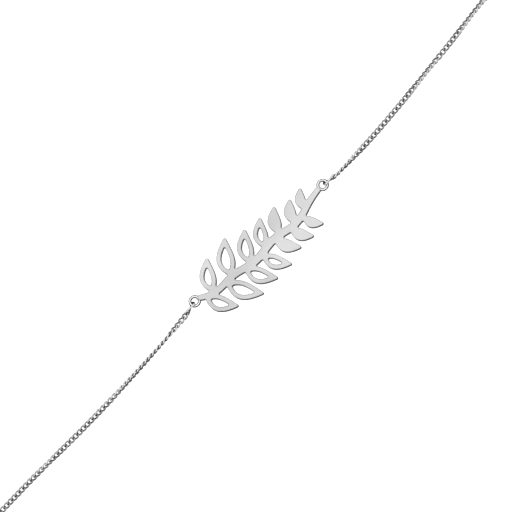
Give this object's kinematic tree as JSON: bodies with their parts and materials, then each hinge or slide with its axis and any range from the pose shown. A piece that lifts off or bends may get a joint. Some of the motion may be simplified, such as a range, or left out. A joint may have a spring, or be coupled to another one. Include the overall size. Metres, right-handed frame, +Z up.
{
  "type": "nameplate bracelet",
  "caption": "Fine curb chain bracelet, closed in a loop and lying flat, with a pierced leaf sprig plate in front and a plain barrel clasp at the back.",
  "frame": {"origin": "middle of the plate's flat back, half way between its two soldered rings, on the surface that the bracelet lies on", "axes": "+X from the plate's left ring to its right ring, +Y across the loop towards the clasp, +Z up out of the plate's face"},
  "size_m": [0.0901, 0.0485, 0.0014],
  "materials": {
    "plate_silver": "satin silver with polished edges",
    "chain_silver": "polished silver",
    "clasp_silver": "polished silver"
  },
  "bodies": {
    "root": {"nameplate": "plate_silver", "left_end_link": "chain_silver", "right_end_link": "chain_silver", "left_chain": "chain_silver", "right_chain": "chain_silver", "left_clasp_link": "chain_silver", "right_clasp_link": "chain_silver", "clasp": "clasp_silver"}
  },
  "joints": []
}
